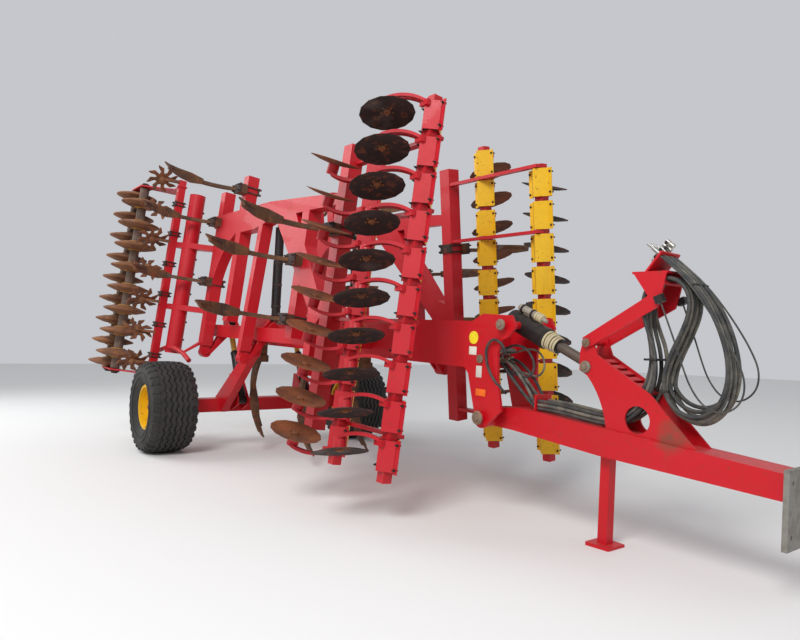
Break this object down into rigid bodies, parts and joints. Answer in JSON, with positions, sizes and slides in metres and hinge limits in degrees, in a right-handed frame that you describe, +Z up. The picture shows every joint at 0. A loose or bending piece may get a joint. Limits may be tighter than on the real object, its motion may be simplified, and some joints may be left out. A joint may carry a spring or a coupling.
{
  "type": "folded combination cultivator",
  "caption": "Towed combination cultivator with folded wings, disc gangs, tines, star levellers and ring packers, parked on wheels and a drawbar stand",
  "frame": {"origin": "centre of the footprint on the ground, under the middle of the machine's length", "axes": "X forward to the hitch plate, Y to the machine's left, Z up"},
  "size_m": [7.1533, 3.2262, 3.0918],
  "materials": {
    "frame_red": "red machine paint, dusty and worn at the edges",
    "wing_red": "sun-faded red machine paint",
    "tine_steel": "forged steel, dark with rust",
    "disc_steel": "rusted disc steel",
    "roller_rust": "rusted cast rings with old yellow paint",
    "yellow_paint": "bright yellow paint",
    "tyre_rubber": "dusty black tyre",
    "black_paint": "black cylinder paint",
    "rod_chrome": "chromed rod",
    "plate_steel": "galvanised plate, dull",
    "coupler_steel": "worn zinc-plated couplers",
    "hose_rubber": "black hydraulic hose, dusty"
  },
  "bodies": {
    "frame": {"main_frame": "frame_red", "headstock": "frame_red", "axle_frame": "frame_red", "lift_cylinders": "black_paint", "centre_tines": "tine_steel", "side_rails": "frame_red", "lift_brackets": "frame_red"},
    "left_wing": {"left_clamp_covers": "yellow_paint", "left_disc_arms": "wing_red", "left_disc_clamps": "wing_red", "left_discs": "disc_steel", "left_gang_frame": "wing_red", "left_packer_frame": "wing_red", "left_star_wheels": "roller_rust", "left_tines": "tine_steel", "left_wing_frame": "wing_red"},
    "left_front_roller": {"left_front_roller": "roller_rust"},
    "left_rear_roller": {"left_rear_roller": "roller_rust"},
    "left_wheel": {"left_tyre": "tyre_rubber", "left_rim": "yellow_paint"},
    "left_fold_barrel": {"left_fold_barrel": "black_paint"},
    "left_fold_rod": {"left_fold_rod": "rod_chrome"},
    "right_wing": {"right_clamp_covers": "yellow_paint", "right_disc_arms": "wing_red", "right_disc_clamps": "wing_red", "right_discs": "disc_steel", "right_gang_frame": "wing_red", "right_packer_frame": "wing_red", "right_star_wheels": "roller_rust", "right_tines": "tine_steel", "right_wing_frame": "wing_red"},
    "right_front_roller": {"right_front_roller": "roller_rust"},
    "right_rear_roller": {"right_rear_roller": "roller_rust"},
    "right_wheel": {"right_tyre": "tyre_rubber", "right_rim": "yellow_paint"},
    "right_fold_barrel": {"right_fold_barrel": "black_paint"},
    "right_fold_rod": {"right_fold_rod": "rod_chrome"},
    "drawbar": {"cable_1": "hose_rubber", "cable_2": "hose_rubber", "cable_junctions": "black_paint", "couplers": "coupler_steel", "drawbar": "frame_red", "hitch_plate": "plate_steel", "hose_1": "hose_rubber", "hose_2": "hose_rubber", "hose_3": "hose_rubber", "hose_4": "hose_rubber", "hose_5": "hose_rubber", "hose_6": "hose_rubber", "hose_arm": "frame_red", "hose_gate": "frame_red"},
    "drawbar_barrel": {"drawbar_barrel": "black_paint"},
    "drawbar_rod": {"drawbar_rod": "rod_chrome"},
    "stand": {"parking_stand": "frame_red"}
  },
  "joints": [
    {"name": "left_fold", "type": "hinge", "parent": "frame", "child": "left_wing", "pos_m": [-1.05323, 0.7, 0.99023], "axis": [-0.9992, 0, 0.0401], "range_deg": [0, 96.3]},
    {"name": "left_fold_barrel_turn", "type": "hinge", "parent": "frame", "child": "left_fold_barrel", "pos_m": [-0.88754, 0.45, 1.3779], "axis": [-0.9992, 0, 0.0401], "range_deg": [0, 100.18]},
    {"name": "left_fold_rod_slide", "type": "slide", "parent": "left_fold_barrel", "child": "left_fold_rod", "axis": [0.0401, -0.0044, 0.9992], "range_m": [0, 0.6897]},
    {"name": "left_front_roller_spin", "type": "hinge", "parent": "left_wing", "child": "left_front_roller", "pos_m": [-2.99941, 1.27536, 1.87203], "axis": [0.0399, -0.1097, 0.9932], "continuous": true},
    {"name": "left_rear_roller_spin", "type": "hinge", "parent": "left_wing", "child": "left_rear_roller", "pos_m": [-3.29917, 1.27536, 1.88407], "axis": [0.0399, -0.1097, 0.9932], "continuous": true},
    {"name": "left_wheel_spin", "type": "hinge", "parent": "frame", "child": "left_wheel", "pos_m": [-1.955, 1.165, 0.466], "axis": [0, 1, 0], "continuous": true},
    {"name": "right_fold", "type": "hinge", "parent": "frame", "child": "right_wing", "pos_m": [-1.05323, -0.7, 0.99023], "axis": [0.9992, 0, -0.0401], "range_deg": [0, 96.3]},
    {"name": "right_fold_barrel_turn", "type": "hinge", "parent": "frame", "child": "right_fold_barrel", "pos_m": [-0.88754, -0.45, 1.3779], "axis": [0.9992, 0, -0.0401], "range_deg": [0, 100.18]},
    {"name": "right_fold_rod_slide", "type": "slide", "parent": "right_fold_barrel", "child": "right_fold_rod", "axis": [0.0401, 0.0044, 0.9992], "range_m": [0, 0.6897]},
    {"name": "right_front_roller_spin", "type": "hinge", "parent": "right_wing", "child": "right_front_roller", "pos_m": [-2.99941, -1.27536, 1.87203], "axis": [0.0399, 0.1097, 0.9932], "continuous": true},
    {"name": "right_rear_roller_spin", "type": "hinge", "parent": "right_wing", "child": "right_rear_roller", "pos_m": [-3.29917, -1.27536, 1.88407], "axis": [0.0399, 0.1097, 0.9932], "continuous": true},
    {"name": "right_wheel_spin", "type": "hinge", "parent": "frame", "child": "right_wheel", "pos_m": [-1.955, -1.165, 0.466], "axis": [0, 1, 0], "continuous": true},
    {"name": "drawbar_swing", "type": "hinge", "parent": "frame", "child": "drawbar", "pos_m": [1.70607, 0, 0.66824], "axis": [0, -1, 0], "range_deg": [-6, 12]},
    {"name": "drawbar_barrel_turn", "type": "hinge", "parent": "frame", "child": "drawbar_barrel", "pos_m": [1.90601, 0, 1.28571], "axis": [0, -1, 0], "range_deg": [-5.88, 11.76]},
    {"name": "drawbar_rod_slide", "type": "slide", "parent": "drawbar_barrel", "child": "drawbar_rod", "axis": [0.9077, 0, -0.4196], "range_m": [-0.1362, 0.0683]},
    {"name": "stand_slide", "type": "slide", "parent": "drawbar", "child": "stand", "axis": [0.0401, 0, 0.9992], "range_m": [0, 0.3]}
  ],
  "couplings": [
    {"joint": "left_fold_barrel_turn", "follows": "left_fold", "ratio": 1.0402},
    {"joint": "left_fold_rod_slide", "follows": "left_fold", "m_per_rad": 0.41004},
    {"joint": "right_fold_barrel_turn", "follows": "right_fold", "ratio": 1.0402},
    {"joint": "right_fold_rod_slide", "follows": "right_fold", "m_per_rad": 0.41004},
    {"joint": "drawbar_barrel_turn", "follows": "drawbar_swing", "ratio": 0.97891},
    {"joint": "drawbar_rod_slide", "follows": "drawbar_swing", "m_per_rad": -0.64776}
  ]
}
